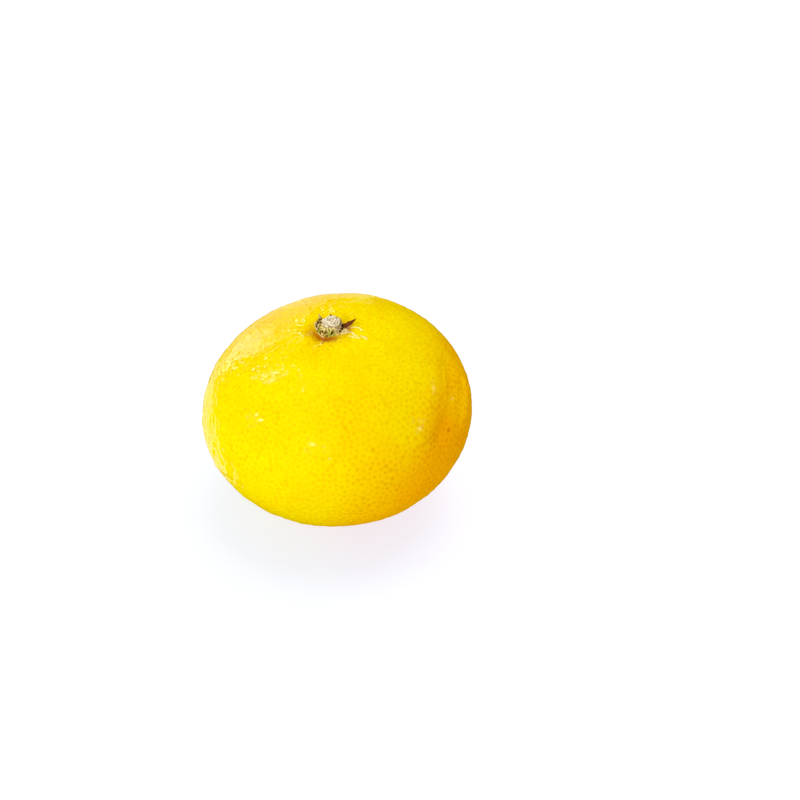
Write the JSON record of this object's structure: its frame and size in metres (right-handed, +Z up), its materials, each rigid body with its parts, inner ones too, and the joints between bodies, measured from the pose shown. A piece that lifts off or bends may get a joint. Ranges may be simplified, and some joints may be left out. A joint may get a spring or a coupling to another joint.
{
  "type": "mandarin orange",
  "caption": "Whole mandarin orange with its dried calyx and the stub of its cut stem, resting on a small flat spot.",
  "frame": {"origin": "centre of the bounding box in plan, on the surface that the fruit rests on", "axes": "+Z up, stem end up and leaning a little towards -X, -Y towards the viewer of the picture"},
  "size_m": [0.0638, 0.0641, 0.051],
  "materials": {
    "rind": "fresh yellow-orange citrus rind, waxy, with fine oil-gland pits",
    "dry_calyx": "dried green-grey calyx with brown tips, matte",
    "cut_stem": "pale fibrous cut stem, matte"
  },
  "bodies": {
    "root": {"fruit": "rind", "calyx": "dry_calyx", "stem_stub": "cut_stem"}
  },
  "joints": []
}
